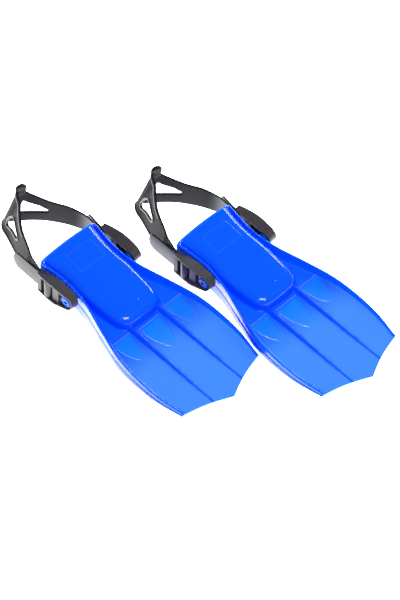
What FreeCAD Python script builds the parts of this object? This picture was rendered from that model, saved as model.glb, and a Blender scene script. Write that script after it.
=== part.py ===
import FreeCAD, Part
import math
import os

import Sketcher

# A pair of open-heel swim fins with buckled rubber heel straps, lying sole down.
# Row frame: +X towards the blade tips, +Y to the wearer's left, +Z up, floor at z = 0,
# origin in the middle of the pair's box.  Each fin is modelled in its own frame first:
# x = 0 lies 1.5 mm ahead of the strap studs, y = 0 is the fin's middle, z = 0 the floor.

V = FreeCAD.Vector

# Driving dimensions in millimetres: alias, value, meaning.
DIMENSIONS = [
    ("pair_mid_x", 80.1, "middle of the pair's box, from the first fin's x = 0"),
    ("pair_mid_y", 69.6, "middle of the pair's box, from the first fin's y = 0"),
    ("pair_step_x", 96.8, "second fin lies this far forward"),
    ("pair_step_y", 139.2, "second fin lies this far to the left"),
    ("rim_x", -59.0, "rear edge of the foot pocket"),
    ("rim_rail_z", 41.0, "height of the side rails at the rim"),
    ("tip_corner_x", 206.4, "outer corners of the blade tip"),
    ("tip_centre_x", 230.0, "middle point of the blade tip"),
    ("tip_rail_z", 3.4, "height of the side rails at the tip"),
    ("rail_thick", 3.5, "thickness of the side rails"),
    ("blank_height", 60.0, "height of a blank before its top is cut"),
    ("blade_root_x", 76.7, "front of the toe"),
    ("blade_root_top", 12.4, "blade's upper face at the toe"),
    ("blade_root_under", 6.8, "blade's lower face at the toe"),
    ("blade_tip_thick", 1.4, "blade thickness at the middle point"),
    ("pocket_wall", 3.0, "wall of the foot pocket"),
    ("pocket_crown", 4.0, "pocket's top above the rails"),
    ("pocket_round", 9.0, "round on the pocket's top edges"),
    ("sole_thick", 4.0, "thickness of the footbed"),
    ("sole_rear_x", -78.0, "rear end of the footbed"),
    ("rim_depth", 3.2, "depth of the rim lip along X"),
    ("rim_half_width", 46.3, "half the width over the rim lip"),
    ("rim_top", 46.0, "top of the rim lip"),
    ("rib_y", 23.5, "ribs' distance from the middle"),
    ("rib_width", 7.0, "rib width at the toe"),
    ("rib_height", 5.0, "rib height at the toe"),
    ("stud_x", -1.5, "strap stud axis"),
    ("stud_z", 27.0, "height of the strap stud axis"),
    ("stud_face_y", 58.5, "buckle's outer face, from the middle"),
    ("boss_radius", 4.8, "boss under the buckle"),
    ("boss_reach", 12.0, "length of the boss, its root inside the rail"),
    ("neck_radius", 4.0, "stud neck, in the buckle's keyhole"),
    ("neck_length", 5.4, "stud neck"),
    ("head_radius", 7.8, "stud head"),
    ("head_thick", 2.2, "stud head"),
    ("stud_hole_radius", 2.2, "blind hole in the stud head"),
    ("buckle_pitch", 5.2, "buckle falls towards the rear by this angle"),
    ("buckle_lean", 8.0, "buckle's top leans in by this angle"),
    ("buckle_length", 52.0, "stud axis to the buckle's rear end"),
    ("buckle_half", 13.9, "half the buckle's height"),
    ("buckle_depth", 11.3, "buckle's flanges inwards from the bars' outer faces"),
    ("buckle_swell", 3.4, "buckle's flanges outwards from the bars' outer faces"),
    ("nose_radius", 9.9, "round front end of the buckle"),
    ("bar_thick", 4.1, "thickness of the front and rear bars"),
    ("strap_width", 23.0, "strap through the buckle"),
    ("strap_thick", 2.5, "strap"),
]

# Half the width over the rails, as (x, half width).
FLANK = [(-59.0, 45.5), (-12.0, 41.5), (14.0, 44.8), (61.0, 58.3),
         (100.0, 68.6), (139.0, 72.0), (170.0, 71.0), (206.4, 64.5)]

# Half the width of the foot pocket; the toe closes it across the middle.
POCKET_SIDE = [(-59.0, 41.6), (-36.0, 37.9), (-14.0, 37.0), (8.0, 38.0), (35.0, 37.3), (56.0, 35.3)]
POCKET_TOE = [(68.0, 31.5), (74.5, 24.0), (76.7, 12.0)]

# Heel strap from its +Y leg round the heel to its -Y leg: lower edge, upper edge.
STRAP = [((-75.0, 49.0, 8.5), (-73.0, 47.4, 40.0)), ((-89.5, 45.7, 7.0), (-86.0, 44.5, 44.0)),
         ((-108.0, 39.6, 4.8), (-100.5, 37.4, 46.5)), ((-129.0, 27.9, 3.6), (-116.5, 28.4, 46.5)),
         ((-142.0, 17.3, 3.2), (-129.0, 20.8, 50.5)), ((-153.0, 4.2, 4.0), (-138.5, 13.0, 57.0)),
         ((-158.0, -3.0, 4.6), (-142.5, 7.5, 63.0)), ((-162.5, -9.5, 5.4), (-145.3, 1.0, 66.5)),
         ((-165.5, -15.0, 6.0), (-146.0, -4.0, 68.0)), ((-163.0, -19.8, 4.6), (-141.0, -7.3, 65.0)),
         ((-156.5, -24.0, 3.2), (-134.4, -10.5, 61.0)), ((-144.6, -27.5, 3.2), (-126.3, -18.2, 57.0)),
         ((-129.4, -33.0, 4.0), (-112.5, -29.1, 52.0)), ((-115.0, -38.5, 5.0), (-100.0, -35.8, 49.0)),
         ((-100.0, -44.0, 6.2), (-87.6, -41.2, 45.5)), ((-86.0, -48.2, 7.5), (-76.5, -46.4, 41.5)),
         ((-74.0, -49.6, 8.6), (-69.0, -47.8, 38.0))]
# Openings of the heel strap: first station, then bottom and top as fractions of the strap's height.
# Station 0 is the end of the +Y leg, station 1 the first row of the table.
OPENINGS = [(4, [(0.44, 0.56), (0.36, 0.69), (0.31, 0.71), (0.30, 0.72)]),
            (11, [(0.28, 0.57), (0.36, 0.64), (0.47, 0.61)])]
TAB_STATION = 8.0

FINS = ["right", "left"]
SIDES = {"right": {"outer": -1, "inner": 1}, "left": {"outer": 1, "inner": -1}}

doc = FreeCAD.newDocument("swim_fins")
sheet = doc.addObject("Spreadsheet::Sheet", "Dims")
for row, (alias, value, meaning) in enumerate(DIMENSIONS, start=1):
    sheet.set("A%d" % row, str(value))
    sheet.set("B%d" % row, meaning)
    sheet.setAlias("A%d" % row, alias)
doc.recompute()

parts = []


def dim(alias):
    """Value of a driving dimension."""
    return float(getattr(sheet, alias))


def bind(item, **expressions):
    """Tie properties of an object to the sheet."""
    for name, expression in expressions.items():
        item.setExpression(name, expression)


def keep(item, label, placement):
    """Name a finished sub-part, place it and list it for export."""
    item.Label = label
    item.Placement = placement
    parts.append(item)
    return item


def new_body(name):
    return doc.addObject("PartDesign::Body", name)


def add_sketch(body, role, offset=0.0):
    """Empty sketch on one of the body's own origin planes."""
    sketch = body.newObject("Sketcher::SketchObject", "Profile")
    support = next(item for item in body.Origin.OriginFeatures if item.Role == role)
    sketch.AttachmentSupport = [(support, "")]
    sketch.MapMode = "FlatFace"
    sketch.AttachmentOffset = FreeCAD.Placement(V(0, 0, offset), FreeCAD.Rotation())
    return sketch


def line(sketch, first, second):
    sketch.addGeometry(Part.LineSegment(V(*first, 0), V(*second, 0)), False)


def polygon(sketch, points):
    """Closed outline of straight edges, its corners tied together."""
    start = len(sketch.Geometry)
    for first, second in zip(points, points[1:] + points[:1]):
        line(sketch, first, second)
    count = len(points)
    for index in range(count):
        following = start + (index + 1) % count
        sketch.addConstraint(Sketcher.Constraint("Coincident", start + index, 2, following, 1))


def arc(sketch, first, middle, last):
    sketch.addGeometry(Part.Arc(V(*first, 0), V(*middle, 0), V(*last, 0)), False)


def curve(sketch, points):
    """Smooth curve through the points."""
    spline = Part.BSplineCurve()
    spline.interpolate([V(*point, 0) for point in points])
    sketch.addGeometry(spline, False)


def pad(body, sketch, expression, midplane=False, reverse=False):
    feature = body.newObject("PartDesign::Pad", "Pad")
    feature.Profile = sketch
    feature.Midplane = midplane
    feature.Reversed = reverse
    bind(feature, Length=expression)
    return feature


def pocket(body, sketch, expression="", midplane=False, reverse=False):
    """Cut by a length, or all the way through when none is given; it has to remove material."""
    doc.recompute()
    before = body.Shape.Volume
    feature = body.newObject("PartDesign::Pocket", "Pocket")
    feature.Profile = sketch
    feature.Midplane = midplane
    feature.Reversed = reverse
    if expression:
        bind(feature, Length=expression)
    else:
        feature.Type = "ThroughAll"
    doc.recompute()
    if body.Shape.Volume > before - 1.0:
        raise RuntimeError("a pocket of %s cuts nothing" % body.Name)
    return feature


def rail_height(x):
    """Height of the rails' straight top edge."""
    share = (x - dim("rim_x")) / (dim("tip_corner_x") - dim("rim_x"))
    return dim("rim_rail_z") + share * (dim("tip_rail_z") - dim("rim_rail_z"))


def blade_top(x):
    """Height of the blade's upper face."""
    share = (x - dim("blade_root_x")) / (dim("tip_centre_x") - dim("blade_root_x"))
    return dim("blade_root_top") + share * (dim("blade_tip_thick") - dim("blade_root_top"))


def blade_under(x):
    """Height of the blade's lower face."""
    share = (x - dim("blade_root_x")) / (dim("tip_corner_x") - dim("blade_root_x"))
    return dim("blade_root_under") * (1.0 - share)


def cut_above(body, height, rear=-90.0, front=240.0, ceiling=70.0):
    """Remove everything above a straight line of the side view."""
    sketch = add_sketch(body, "XZ_Plane")
    polygon(sketch, [(rear, height(rear)), (front, height(front)), (front, ceiling), (rear, ceiling)])
    return pocket(body, sketch, midplane=True)


def cut_below(body, height, rear=-90.0, front=240.0, depth=-10.0):
    """Remove everything below a straight line of the side view."""
    sketch = add_sketch(body, "XZ_Plane")
    polygon(sketch, [(rear, height(rear)), (front, height(front)), (front, depth), (rear, depth)])
    return pocket(body, sketch, midplane=True)


def pocket_outline(inset, rear_x):
    """Points of the pocket's plan outline, moved in by inset, from one rear corner to the other."""
    side = [(x, half - inset) for x, half in POCKET_SIDE]
    side[0] = (rear_x, side[0][1])
    toe = [(x - inset, half - 0.7 * inset) for x, half in POCKET_TOE]
    half_outline = side + toe
    nose = (dim("blade_root_x") + 0.1 - inset, 0.0)
    return [(x, -half) for x, half in half_outline] + [nose] + [(x, half) for x, half in reversed(half_outline)]


def tip_edge(sketch, side_y):
    """Blade tip: two hollow arcs from the outer corners to the middle point."""
    hollow = 3.2
    corner = (dim("tip_corner_x") + 1.3, side_y)
    centre = (dim("tip_centre_x"), 0.0)
    span = math.hypot(centre[0] - corner[0], side_y)
    lean = ((centre[0] - corner[0]) / span, side_y / span)
    for side in (-1, 1):
        middle = (0.5 * (corner[0] + centre[0]) - hollow * lean[1], side * (0.5 * side_y - hollow * lean[0]))
        arc(sketch, (corner[0], side * side_y), middle, centre)


# ---------------------------------------------------------------- fin mouldings

def blade(fin, place):
    """Stiff blade panel with three scooped vents and a three-point tip."""
    gap = dim("rail_thick") + 0.3
    side = [(x, half - gap) for x, half in FLANK if x > 0]
    side[-1] = (dim("tip_corner_x") + 1.3, side[-1][1])
    panel = new_body(fin + "_blade_panel")
    outline = add_sketch(panel, "XY_Plane")
    for sign in (-1, 1):
        curve(outline, [(x, sign * half) for x, half in side])
    tip_edge(outline, side[-1][1])
    rear_x, rear_half = side[0]
    line(outline, (rear_x, -rear_half), (rear_x, rear_half))
    pad(panel, outline, "Dims.blank_height")
    cut_above(panel, blade_top)
    cut_below(panel, blade_under, front=dim("tip_corner_x"))
    notch = add_sketch(panel, "XY_Plane")
    edge = pocket_outline(-0.1, 8.0)
    curve(notch, edge)
    line(notch, edge[0], edge[-1])
    pocket(panel, notch, reverse=True)
    scoops = [vent_tool(fin, name, y, rear, reach, half)
              for name, y, rear, reach, half in [("outer_vent", -43.0, 79.0, 40.0, 14.0),
                                                 ("middle_vent", 0.0, 83.5, 47.0, 17.0),
                                                 ("inner_vent", 43.0, 79.0, 40.0, 14.0)]]
    tools = doc.addObject("Part::MultiFuse", fin + "_vents")
    tools.Shapes = scoops
    result = doc.addObject("Part::Cut", fin + "_blade")
    result.Base = panel
    result.Tool = tools
    return keep(result, fin + "_blade", place)


def vent_tool(fin, name, y, rear, reach, half):
    """Tongue-shaped scoop: deep along its straight rear edge, running out in front."""
    depth, front_depth = 2.8, 0.2
    nose = 0.55 * half
    tool = new_body(fin + "_" + name)
    outline = add_sketch(tool, "XY_Plane")
    front = rear + reach
    line(outline, (rear, y - half), (rear, y + half))
    for sign in (-1, 1):
        line(outline, (rear, y + sign * half), (front - nose, y + sign * nose))
    arc(outline, (front - nose, y - nose), (front, y), (front - nose, y + nose))
    pad(tool, outline, "Dims.blank_height")
    slope = (depth - front_depth) / reach
    cut_below(tool, lambda x: blade_top(x) - front_depth - slope * (front - x))
    return tool


def side_rail(fin, name, side, place):
    """Rail along one flank: full height at the rim, running out at the tip corner."""
    thick = dim("rail_thick")
    rail = new_body(fin + "_" + name)
    outline = add_sketch(rail, "XY_Plane")
    inner = [(x, half - thick) for x, half in FLANK]
    inner[-1] = (dim("tip_corner_x") + 1.3, inner[-1][1])
    curve(outline, [(x, side * half) for x, half in FLANK])
    curve(outline, [(x, side * half) for x, half in inner])
    for index in (0, -1):
        line(outline, (FLANK[index][0], side * FLANK[index][1]), (inner[index][0], side * inner[index][1]))
    pad(rail, outline, "Dims.blank_height")
    cut_above(rail, rail_height)
    return keep(rail, fin + "_" + name, place)


def pocket_block(name, inset, rear_x, drop, round_alias):
    """Rounded dome over the foot: the outer form, or the hollow when it is moved in."""
    body = new_body(name)
    outline = add_sketch(body, "XY_Plane")
    edge = pocket_outline(inset, rear_x)
    curve(outline, edge)
    line(outline, edge[0], edge[-1])
    pad(body, outline, "Dims.blank_height")
    crown = dim("pocket_crown") - drop
    top_cut = cut_above(body, lambda x: rail_height(x) + crown)
    top_edges = []
    for number, item in enumerate(top_cut.Shape.Edges, start=1):
        middle = item.valueAt(0.5 * (item.FirstParameter + item.LastParameter))
        on_top = abs(middle.z - rail_height(middle.x) - crown) < 0.01
        if on_top and middle.x > rear_x + 0.1:
            top_edges.append("Edge%d" % number)
    fillet = body.newObject("PartDesign::Fillet", "TopRound")
    fillet.Base = (top_cut, top_edges)
    bind(fillet, Radius=round_alias)
    return body


def foot_pocket(fin, place):
    """Hollow foot pocket, open at the heel, and its outer form for trimming the ribs."""
    wall = dim("pocket_wall")
    form = pocket_block(fin + "_pocket_form", 0.0, dim("rim_x"), 0.0, "Dims.pocket_round")
    hollow = pocket_block(fin + "_pocket_hollow", wall, dim("rim_x") - 6.0, wall,
                          "Dims.pocket_round - Dims.pocket_wall + 0.5")
    shell = doc.addObject("Part::Cut", fin + "_foot_pocket")
    shell.Base = form
    shell.Tool = hollow
    keep(shell, fin + "_foot_pocket", place)
    return form


def footbed(fin, place):
    """Sole plate inside the pocket walls, with a rounded heel end behind the rim."""
    bed = new_body(fin + "_footbed")
    outline = add_sketch(bed, "XY_Plane")
    edge = pocket_outline(dim("pocket_wall") + 0.1, dim("rim_x") - 6.0)
    curve(outline, edge)
    arc(outline, edge[0], (dim("sole_rear_x"), 0.0), edge[-1])
    pad(bed, outline, "Dims.sole_thick")
    return keep(bed, fin + "_footbed", place)


def arch(sketch, half, top, corner):
    """Arch standing on the floor: two legs, two round corners and a level top, left open below."""
    bend = corner * (1.0 - math.sqrt(0.5))
    for side in (-1, 1):
        line(sketch, (side * half, 0.0), (side * half, top - corner))
        arc(sketch, (side * half, top - corner), (side * (half - bend), top - bend),
            (side * (half - corner), top))
    line(sketch, (corner - half, top), (half - corner, top))


def pocket_rim(fin, place):
    """Rolled lip round the foot opening."""
    rim = new_body(fin + "_pocket_rim")
    outline = add_sketch(rim, "YZ_Plane", dim("rim_x"))
    outer = dim("rim_half_width")
    inner = POCKET_SIDE[0][1] - dim("pocket_wall")
    inner_top = dim("rim_rail_z") + dim("pocket_crown") - dim("pocket_wall")
    arch(outline, outer, dim("rim_top"), 7.0)
    arch(outline, inner, inner_top, 6.5)
    for side in (-1, 1):
        line(outline, (side * inner, 0.0), (side * outer, 0.0))
    pad(rim, outline, "Dims.rim_depth", reverse=True)
    return keep(rim, fin + "_pocket_rim", place)


def rib(fin, name, side, form, place):
    """Tapered rib along the blade, from the toe to just short of the tip."""
    rear_x = dim("blade_root_x") - 10.0
    front_x = dim("tip_corner_x") + 2.6
    bar = new_body(fin + "_" + name + "_bar")
    ends = []
    for x, y, width, height in [(rear_x, dim("rib_y"), dim("rib_width"), dim("rib_height")),
                                (front_x, dim("rib_y") + 0.9, 1.4, 0.3)]:
        section = add_sketch(bar, "YZ_Plane", x)
        foot = blade_top(x)
        low, high = side * (y - 0.5 * width), side * (y + 0.5 * width)
        shoulder = 0.2 * (high - low)
        polygon(section, [(low, foot), (high, foot), (high - shoulder, foot + height),
                          (low + shoulder, foot + height)])
        ends.append(section)
    loft = bar.newObject("PartDesign::AdditiveLoft", "Taper")
    loft.Profile = ends[0]
    loft.Sections = [ends[1]]
    loft.Ruled = True
    result = doc.addObject("Part::Cut", fin + "_" + name)
    result.Base = bar
    result.Tool = form
    return keep(result, fin + "_" + name, place)


def cylinder(name, radius, height, position, side):
    """Cylinder along the stud axis, growing outwards from its position."""
    item = doc.addObject("Part::Cylinder", name)
    bind(item, Radius=radius, Height=height)
    turn = FreeCAD.Rotation(V(1, 0, 0), -90.0 * side)
    item.Placement = FreeCAD.Placement(position, turn)
    return item


def strap_stud(fin, name, side, rail, place):
    """Moulded stud that the buckle hooks on: boss, neck and head with a blind hole."""
    axis_x, axis_z = dim("stud_x"), dim("stud_z")
    neck_y = dim("stud_face_y") + 1.0 - dim("head_thick") - dim("neck_length")
    boss_y = neck_y - dim("boss_reach")
    head_y = neck_y + dim("neck_length")
    label = fin + "_" + name
    steps = [cylinder(label + "_boss", "Dims.boss_radius", "Dims.boss_reach", V(axis_x, side * boss_y, axis_z), side),
             cylinder(label + "_neck", "Dims.neck_radius", "Dims.neck_length", V(axis_x, side * neck_y, axis_z), side),
             cylinder(label + "_head", "Dims.head_radius", "Dims.head_thick", V(axis_x, side * head_y, axis_z), side)]
    solid = doc.addObject("Part::MultiFuse", label + "_solid")
    solid.Shapes = steps
    hole = cylinder(label + "_hole", "Dims.stud_hole_radius", "Dims.neck_length",
                    V(axis_x, side * (head_y - 1.0), axis_z), side)
    drilled = doc.addObject("Part::Cut", label + "_drilled")
    drilled.Base = solid
    drilled.Tool = hole
    result = doc.addObject("Part::Cut", label)
    result.Base = drilled
    result.Tool = rail
    return keep(result, label, place)


# ---------------------------------------------------------------- buckle and strap
# Buckle frame: x forward along the strap, y in towards the fin, z up, origin on the stud axis
# in the buckle's outer face.

LOOP_X = -33.9              # middle of the strap's turn round the middle bar
LOOP_TURN = 5.1             # radius of that turn
LOOP_SWEEP = 5.7            # radius of the two bends that lead on to the tail
LOOP_SLOPE = math.radians(69.2)
LEG_Y = 8.45                # middle of the strap's inner leg
TAIL_Y = LEG_Y - 2.0 * LOOP_TURN + 2.0 * LOOP_SWEEP * (1.0 - math.cos(LOOP_SLOPE))
TAIL_FRONT_X = -46.0        # front end of both tails
TAIL_REAR_X = {-1: -101.5, 1: -82.0}    # rear ends; the +Y tail is shorter
LEG_REAR_X = -56.0          # rear end of the strap's straight leg


def buckle_place(side):
    """Buckle frame in the fin's frame."""
    pitch = FreeCAD.Rotation(V(0, 1, 0), -dim("buckle_pitch"))
    lean = -dim("buckle_lean") if side < 0 else 180.0 + dim("buckle_lean")
    stud = V(dim("stud_x"), side * dim("stud_face_y"), dim("stud_z"))
    return FreeCAD.Placement(stud, pitch.multiply(FreeCAD.Rotation(V(1, 0, 0), lean)))


def nose_outline(sketch, radius, shoulder_x, shoulder_z, rear_x):
    """Side view of the buckle: round nose, sloping shoulders and a straight rear end."""
    centre_x = 1.0
    for side in (-1, 1):
        line(sketch, (centre_x, side * radius), (shoulder_x, side * shoulder_z))
        line(sketch, (shoulder_x, side * shoulder_z), (rear_x, side * shoulder_z))
    arc(sketch, (centre_x, radius), (centre_x + radius, 0.0), (centre_x, -radius))
    line(sketch, (rear_x, -shoulder_z), (rear_x, shoulder_z))


def rectangle(sketch, low, high):
    polygon(sketch, [(low[0], low[1]), (high[0], low[1]), (high[0], high[1]), (low[0], high[1])])


def buckle(fin, name, side, place):
    """Three-bar slide buckle with deep, swelling flanges and a keyhole for the stud."""
    rear_x, deep, swell = -dim("buckle_length"), dim("buckle_depth"), dim("buckle_swell")
    half = dim("buckle_half")
    clear = 0.5 * dim("strap_width") + 0.3
    window_rear, window_front = -45.5, -24.4
    web_rear = -13.8
    past = 12.0
    frame = new_body(fin + "_" + name)
    outline = add_sketch(frame, "XZ_Plane", swell)
    nose_outline(outline, dim("nose_radius"), -20.0, half, rear_x)
    pad(frame, outline, "Dims.buckle_depth + Dims.buckle_swell", reverse=True)
    for rear_y, middle_y, front_y, beyond in [(7.0, deep, 10.5, deep + 2.0), (0.0, 0.2 - swell, -0.2, -swell - 2.0)]:
        lens = add_sketch(frame, "XY_Plane")
        arc(lens, (rear_x - 1.0, rear_y), (0.5 * rear_x, middle_y), (past, front_y))
        line(lens, (past, front_y), (past, beyond))
        line(lens, (past, beyond), (rear_x - 1.0, beyond))
        line(lens, (rear_x - 1.0, beyond), (rear_x - 1.0, rear_y))
        pocket(frame, lens, midplane=True)
    channel = add_sketch(frame, "XZ_Plane", -dim("bar_thick"))
    rectangle(channel, (rear_x - 1.0, -clear), (-16.0, clear))
    pocket(frame, channel, "Dims.buckle_depth")
    nose_hollow = add_sketch(frame, "XZ_Plane", -5.0)
    nose_outline(nose_hollow, dim("nose_radius") - 1.4, -16.5, clear - 1.0, -17.0)
    pocket(frame, nose_hollow, "Dims.buckle_depth")
    bar_face = add_sketch(frame, "XZ_Plane", swell)
    rectangle(bar_face, (rear_x - 1.0, -clear), (web_rear, clear))
    pocket(frame, bar_face, "Dims.buckle_swell")
    face = add_sketch(frame, "XZ_Plane", swell)
    nose_outline(face, dim("nose_radius") - 1.4, web_rear + 0.1, clear - 1.6, web_rear)
    pocket(frame, face, "Dims.buckle_swell + 2.5")
    window = add_sketch(frame, "XZ_Plane")
    rectangle(window, (window_rear, -clear), (window_front, clear))
    pocket(frame, window, midplane=True)
    keyhole = add_sketch(frame, "XZ_Plane")
    big, small, big_x = 5.8, dim("neck_radius") + 1.0, -6.6
    meet_x = (big_x ** 2 - big ** 2 + small ** 2) / (2.0 * big_x)
    meet_z = math.sqrt(small ** 2 - meet_x ** 2)
    arc(keyhole, (meet_x, meet_z), (small, 0.0), (meet_x, -meet_z))
    arc(keyhole, (meet_x, meet_z), (big_x - big, 0.0), (meet_x, -meet_z))
    pocket(frame, keyhole, midplane=True)
    bar = add_sketch(frame, "XY_Plane")
    bar.addGeometry(Part.Circle(V(LOOP_X, 1.9, 0), V(0, 0, 1), 2.1), False)
    pad(frame, bar, "Dims.strap_width + 1.2", midplane=True)
    return keep(frame, fin + "_" + name, place.multiply(buckle_place(side)))


def strap_loop(fin, name, side, place):
    """Strap turned round the middle bar and back in under the rear bar."""
    half = 0.5 * dim("strap_thick")
    turn, sweep, slope = LOOP_TURN, LOOP_SWEEP, LOOP_SLOPE
    turn_y = LEG_Y - turn
    first = (LOOP_X, turn_y - turn + sweep)
    second = (first[0] - 2.0 * sweep * math.sin(slope), first[1] - 2.0 * sweep * math.cos(slope))

    def on(centre, radius, angle):
        return (centre[0] - radius * math.sin(angle), centre[1] - radius * math.cos(angle))

    loop = new_body(fin + "_" + name)
    outline = add_sketch(loop, "XY_Plane")
    for offset in (-half, half):
        arc(outline, (LOOP_X, LEG_Y - offset), (LOOP_X + turn - offset, turn_y), (LOOP_X, LEG_Y - 2 * turn + offset))
        near, far = sweep - offset, sweep + offset
        arc(outline, on(first, near, 0.0), on(first, near, 0.5 * slope), on(first, near, slope))
        arc(outline, on(second, -far, slope), on(second, -far, 0.5 * slope), on(second, -far, 0.0))
        line(outline, on(second, -far, 0.0), (TAIL_FRONT_X, second[1] + far))
    line(outline, (LOOP_X, LEG_Y - half), (LOOP_X, LEG_Y + half))
    line(outline, (TAIL_FRONT_X, TAIL_Y - half), (TAIL_FRONT_X, TAIL_Y + half))
    pad(loop, outline, "Dims.strap_width", midplane=True)
    return keep(loop, fin + "_" + name, place.multiply(buckle_place(side)))


def strap_tail(fin, name, side, place):
    """Free end of the strap, lying back along the outside."""
    half = 0.5 * dim("strap_width")
    end_x = TAIL_REAR_X[side]
    shoulder_x = end_x + 13.5
    tail = new_body(fin + "_" + name)
    outline = add_sketch(tail, "XZ_Plane", -(TAIL_Y - 0.5 * dim("strap_thick")))
    for sign in (-1, 1):
        line(outline, (TAIL_FRONT_X, sign * half), (shoulder_x, sign * half))
    line(outline, (TAIL_FRONT_X, -half), (TAIL_FRONT_X, half))
    arc(outline, (shoulder_x, half), (end_x, 0.0), (shoulder_x, -half))
    pad(tail, outline, "Dims.strap_thick", reverse=True)
    return keep(tail, fin + "_" + name, place.multiply(buckle_place(side)))


def strap_edges():
    """Lower and upper edge curves of the heel strap; station numbers are their parameters."""
    half = 0.5 * dim("strap_width")
    edges = []
    for which, up in ((0, -half), (1, half)):
        ends = {side: buckle_place(side).multVec(V(LEG_REAR_X, LEG_Y, -side * up)) for side in (-1, 1)}
        points = [ends[1]] + [V(*station[which]) for station in STRAP] + [ends[-1]]
        edge = Part.BSplineCurve()
        edge.interpolate(Points=points, Parameters=[float(number) for number in range(len(points))])
        edges.append(edge)
    return edges


def strap_section(edges, station, thick, bottom=0.0, top=1.0):
    """Closed quadrilateral across the strap between two fractions of its height."""
    low, high = [edge.value(station) for edge in edges]
    along = edges[0].getDN(station, 1) + edges[1].getDN(station, 1)
    rise = high - low
    normal = along.cross(rise)
    normal.normalize()
    normal.multiply(0.5 * thick)
    first, last = low + rise * bottom, low + rise * top
    return Part.makePolygon([first - normal, first + normal, last + normal, last - normal, first - normal])


def pull_tab(foot, along, thick):
    """Rounded tab standing nearly upright on the strap's rear bridge."""
    half, height, root = 6.5, 9.0, 4.0
    tab = Part.makeBox(thick, 2 * half, height + root, V(-0.5 * thick, -half, -root))
    tab = tab.fuse(Part.makeCylinder(half, thick, V(-0.5 * thick, 0, height), V(1, 0, 0)))
    up = V(0.1, 0.06, 1.0)
    tab.Placement = FreeCAD.Placement(foot, FreeCAD.Rotation(along.cross(up), V(), up, "ZXY"))
    return tab


def heel_strap(fin, place):
    """Rubber heel strap: straight legs, solid sides, two branches round the heel, a bridge and a pull tab."""
    edges = strap_edges()
    thick = dim("strap_thick")
    half_steps = 2 * (len(STRAP) + 1) + 1
    band = Part.makeLoft([strap_section(edges, 0.5 * step, thick) for step in range(half_steps)], True, True)
    for first, fractions in OPENINGS:
        sections = [strap_section(edges, station, 5 * thick, bottom, top)
                    for station, (bottom, top) in enumerate(fractions, start=first)]
        band = band.cut(Part.makeLoft(sections, True, True))
    for side in (-1, 1):
        leg = Part.makeBox(LOOP_X - LEG_REAR_X + 1.0, thick, dim("strap_width"),
                           V(LEG_REAR_X - 1.0, LEG_Y - 0.5 * thick, -0.5 * dim("strap_width")))
        leg.Placement = buckle_place(side)
        band = band.fuse(leg)
    band = band.fuse(pull_tab(edges[1].value(TAB_STATION), edges[1].getDN(TAB_STATION, 1), thick))
    strap = doc.addObject("Part::Feature", fin + "_heel_strap")
    strap.Shape = band.removeSplitter()
    return keep(strap, fin + "_heel_strap", place)


# ---------------------------------------------------------------- the pair

for number, fin in enumerate(FINS):
    shift = V(number * dim("pair_step_x") - dim("pair_mid_x"), number * dim("pair_step_y") - dim("pair_mid_y"), 0)
    place = FreeCAD.Placement(shift, FreeCAD.Rotation())
    blade(fin, place)
    footbed(fin, place)
    pocket_form = foot_pocket(fin, place)
    pocket_rim(fin, place)
    heel_strap(fin, place)
    for flank, side in SIDES[fin].items():
        rail = side_rail(fin, flank + "_rail", side, place)
        rib(fin, flank + "_rib", side, pocket_form, place)
        rail_form = new_body(fin + "_" + flank + "_rail_form")
        form_outline = add_sketch(rail_form, "XY_Plane")
        edge = [(x, side * half) for x, half in FLANK]
        curve(form_outline, edge)
        line(form_outline, edge[0], (edge[0][0], 0.0))
        line(form_outline, (edge[0][0], 0.0), (edge[-1][0], 0.0))
        line(form_outline, (edge[-1][0], 0.0), edge[-1])
        pad(rail_form, form_outline, "Dims.blank_height")
        strap_stud(fin, flank + "_stud", side, rail_form, place)
        buckle(fin, flank + "_buckle", side, place)
        strap_loop(fin, flank + "_strap_loop", side, place)
        strap_tail(fin, flank + "_strap_tail", side, place)

doc.recompute()

for item in doc.Objects:
    if "Invalid" in item.State or "Error" in item.State:
        raise RuntimeError("%s did not build: %s" % (item.Name, item.State))

os.makedirs("parts", exist_ok=True)
for item in parts:
    if item.Shape.isNull() or not item.Shape.isValid():
        raise RuntimeError("%s has no valid shape" % item.Label)
    item.Shape.exportStep("parts/%s.step" % item.Label)
    print("%-26s %9.1f mm3  %d solids" % (item.Label, item.Shape.Volume, len(item.Shape.Solids)))
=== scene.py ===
import math

import bmesh
import bpy
import numpy as np
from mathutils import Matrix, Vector


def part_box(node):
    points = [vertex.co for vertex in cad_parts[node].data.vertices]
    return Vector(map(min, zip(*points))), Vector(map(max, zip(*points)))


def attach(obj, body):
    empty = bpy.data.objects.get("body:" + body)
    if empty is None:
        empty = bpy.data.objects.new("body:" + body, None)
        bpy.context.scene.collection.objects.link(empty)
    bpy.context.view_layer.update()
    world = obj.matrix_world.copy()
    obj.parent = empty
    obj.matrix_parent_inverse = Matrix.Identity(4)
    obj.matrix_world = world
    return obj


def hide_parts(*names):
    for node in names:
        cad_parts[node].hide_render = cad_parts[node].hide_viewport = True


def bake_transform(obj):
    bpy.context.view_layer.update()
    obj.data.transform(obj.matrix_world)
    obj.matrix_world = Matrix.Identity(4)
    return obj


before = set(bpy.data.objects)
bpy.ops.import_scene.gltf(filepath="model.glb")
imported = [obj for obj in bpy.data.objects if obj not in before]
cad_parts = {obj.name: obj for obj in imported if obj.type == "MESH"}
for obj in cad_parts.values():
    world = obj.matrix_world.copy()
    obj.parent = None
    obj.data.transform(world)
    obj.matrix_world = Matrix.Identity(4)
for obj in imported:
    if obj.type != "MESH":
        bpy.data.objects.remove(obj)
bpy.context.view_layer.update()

MM = 0.001
FINS = ("right", "left")
SIDES = {"right": {"outer": -1, "inner": 1}, "left": {"outer": 1, "inner": -1}}
TIP_CENTRE_X = 230.0


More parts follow.
